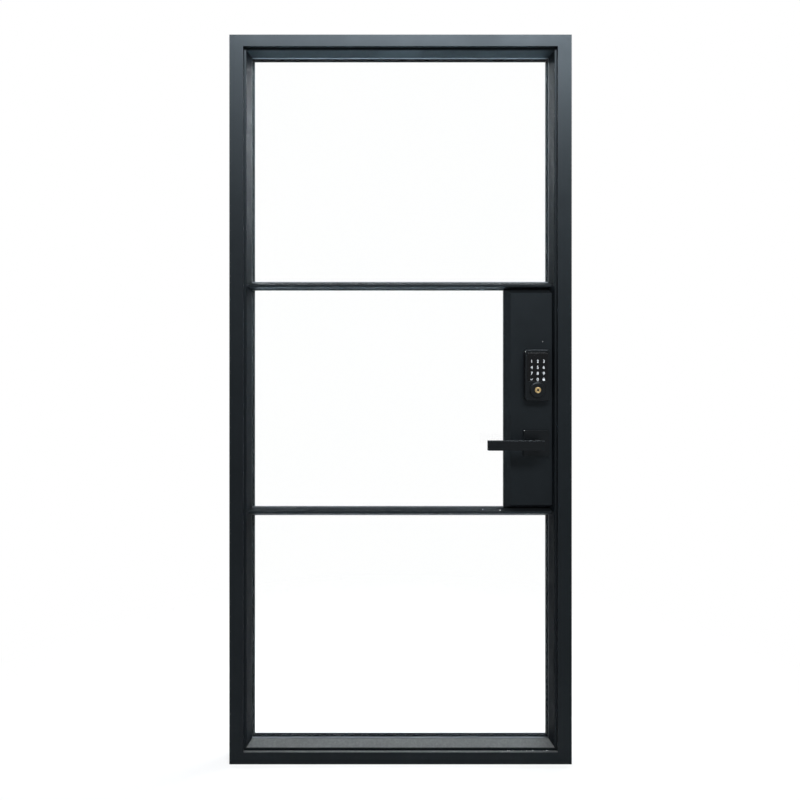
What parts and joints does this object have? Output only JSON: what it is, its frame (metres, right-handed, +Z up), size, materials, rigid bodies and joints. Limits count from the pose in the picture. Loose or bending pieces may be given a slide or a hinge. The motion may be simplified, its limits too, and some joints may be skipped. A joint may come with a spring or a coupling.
{
  "type": "glazed steel entrance door in its frame",
  "caption": "Glazed steel French-style door leaf in its fixed steel frame, with a lock box, a keypad deadbolt, a flat lever and a room side knob.",
  "frame": {"origin": "centre of the sill's underside, where the frame stands on the floor", "axes": "+X from the hinge side to the lock side as seen from the street, +Y into the room, +Z up"},
  "size_m": [0.965, 0.156, 2.057],
  "materials": {
    "coated_steel": "satin powder coat, blue black",
    "black_hardware": "matte black",
    "black_rubber": "matte",
    "clear_glass": "clear",
    "spacer_aluminium": "mill",
    "bright_steel": "brushed",
    "brass": "polished",
    "touch_screen": "gloss black with white figures",
    "battery_sleeve": "plain sleeve",
    "board": "solder mask"
  },
  "bodies": {
    "frame": {"jamb_hinge": "coated_steel", "jamb_lock": "coated_steel", "head": "coated_steel", "sill": "coated_steel", "frame_seal": "black_rubber", "latch_strike": "bright_steel", "deadbolt_strike": "bright_steel", "strike_screws": "bright_steel", "hinge_bottom_frame_half": "coated_steel", "hinge_middle_frame_half": "coated_steel", "hinge_top_frame_half": "coated_steel", "hinge_pins": "bright_steel", "hinge_bearings": "brass"},
    "leaf": {"hinge_bottom_leaf_half": "coated_steel", "hinge_middle_leaf_half": "coated_steel", "hinge_top_leaf_half": "coated_steel", "stile_hinge": "coated_steel", "stile_lock": "coated_steel", "rail_top": "coated_steel", "rail_bottom": "coated_steel", "bar_upper": "coated_steel", "bar_lower": "coated_steel", "door_sweep": "black_rubber", "glass_top": "clear_glass", "glass_middle": "clear_glass", "glass_bottom": "clear_glass", "spacer_bars": "spacer_aluminium", "glazing_gaskets": "black_rubber", "beads_top": "coated_steel", "beads_middle": "coated_steel", "beads_bottom": "coated_steel", "setting_blocks": "black_rubber", "lock_box": "coated_steel", "lock_stile": "coated_steel", "lock_box_cover": "coated_steel", "cover_screws": "coated_steel", "latch_case": "bright_steel", "deadbolt_case": "bright_steel", "latch_forend": "bright_steel", "deadbolt_forend": "bright_steel", "forend_screws": "bright_steel", "rose_outer": "black_hardware", "rose_inner": "black_hardware", "through_bolts": "bright_steel", "keypad_housing": "black_hardware", "keypad_screen": "touch_screen", "cylinder_guard": "black_hardware", "cylinder_body": "brass", "inner_housing": "black_hardware", "battery_cover": "black_hardware", "batteries": "battery_sleeve", "circuit_board": "board"},
    "lever_set": {"lever_outer": "black_hardware", "knob_inner": "black_hardware", "spindle": "bright_steel"},
    "latch": {"latch_bolt": "bright_steel"},
    "deadbolt": {"deadbolt_bolt": "bright_steel"},
    "thumb_turn": {"thumb_turn": "black_hardware", "tailpiece": "bright_steel"},
    "key_plug": {"key_plug": "brass"}
  },
  "joints": [
    {"name": "door_swing", "type": "hinge", "parent": "frame", "child": "leaf", "pos_m": [-0.45875, 0.0405, 1.03], "axis": [0, 0, 1], "range_deg": [0, 120]},
    {"name": "lever_turn", "type": "hinge", "parent": "leaf", "child": "lever_set", "pos_m": [0.387, 0.018, 0.903], "axis": [0, -1, 0], "range_deg": [0, 45], "stiffness_Nm_per_rad": 2, "springref_deg": -45.84},
    {"name": "latch_slide", "type": "slide", "parent": "leaf", "child": "latch", "axis": [-1, 0, 0], "range_m": [0, 0.012]},
    {"name": "bolt_turn", "type": "hinge", "parent": "leaf", "child": "thumb_turn", "pos_m": [0.387, 0.066, 1.055], "axis": [0, 1, 0], "range_deg": [0, 90]},
    {"name": "deadbolt_slide", "type": "slide", "parent": "leaf", "child": "deadbolt", "axis": [1, 0, 0], "range_m": [0, 0.02]},
    {"name": "key_turn", "type": "hinge", "parent": "leaf", "child": "key_plug", "pos_m": [0.387, 0, 1.055], "axis": [0, 1, 0], "range_deg": [0, 90]}
  ],
  "couplings": [
    {"joint": "latch_slide", "follows": "lever_turn", "m_per_rad": 0.0146},
    {"joint": "bolt_turn", "follows": "deadbolt_slide", "rad_per_m": 78}
  ]
}
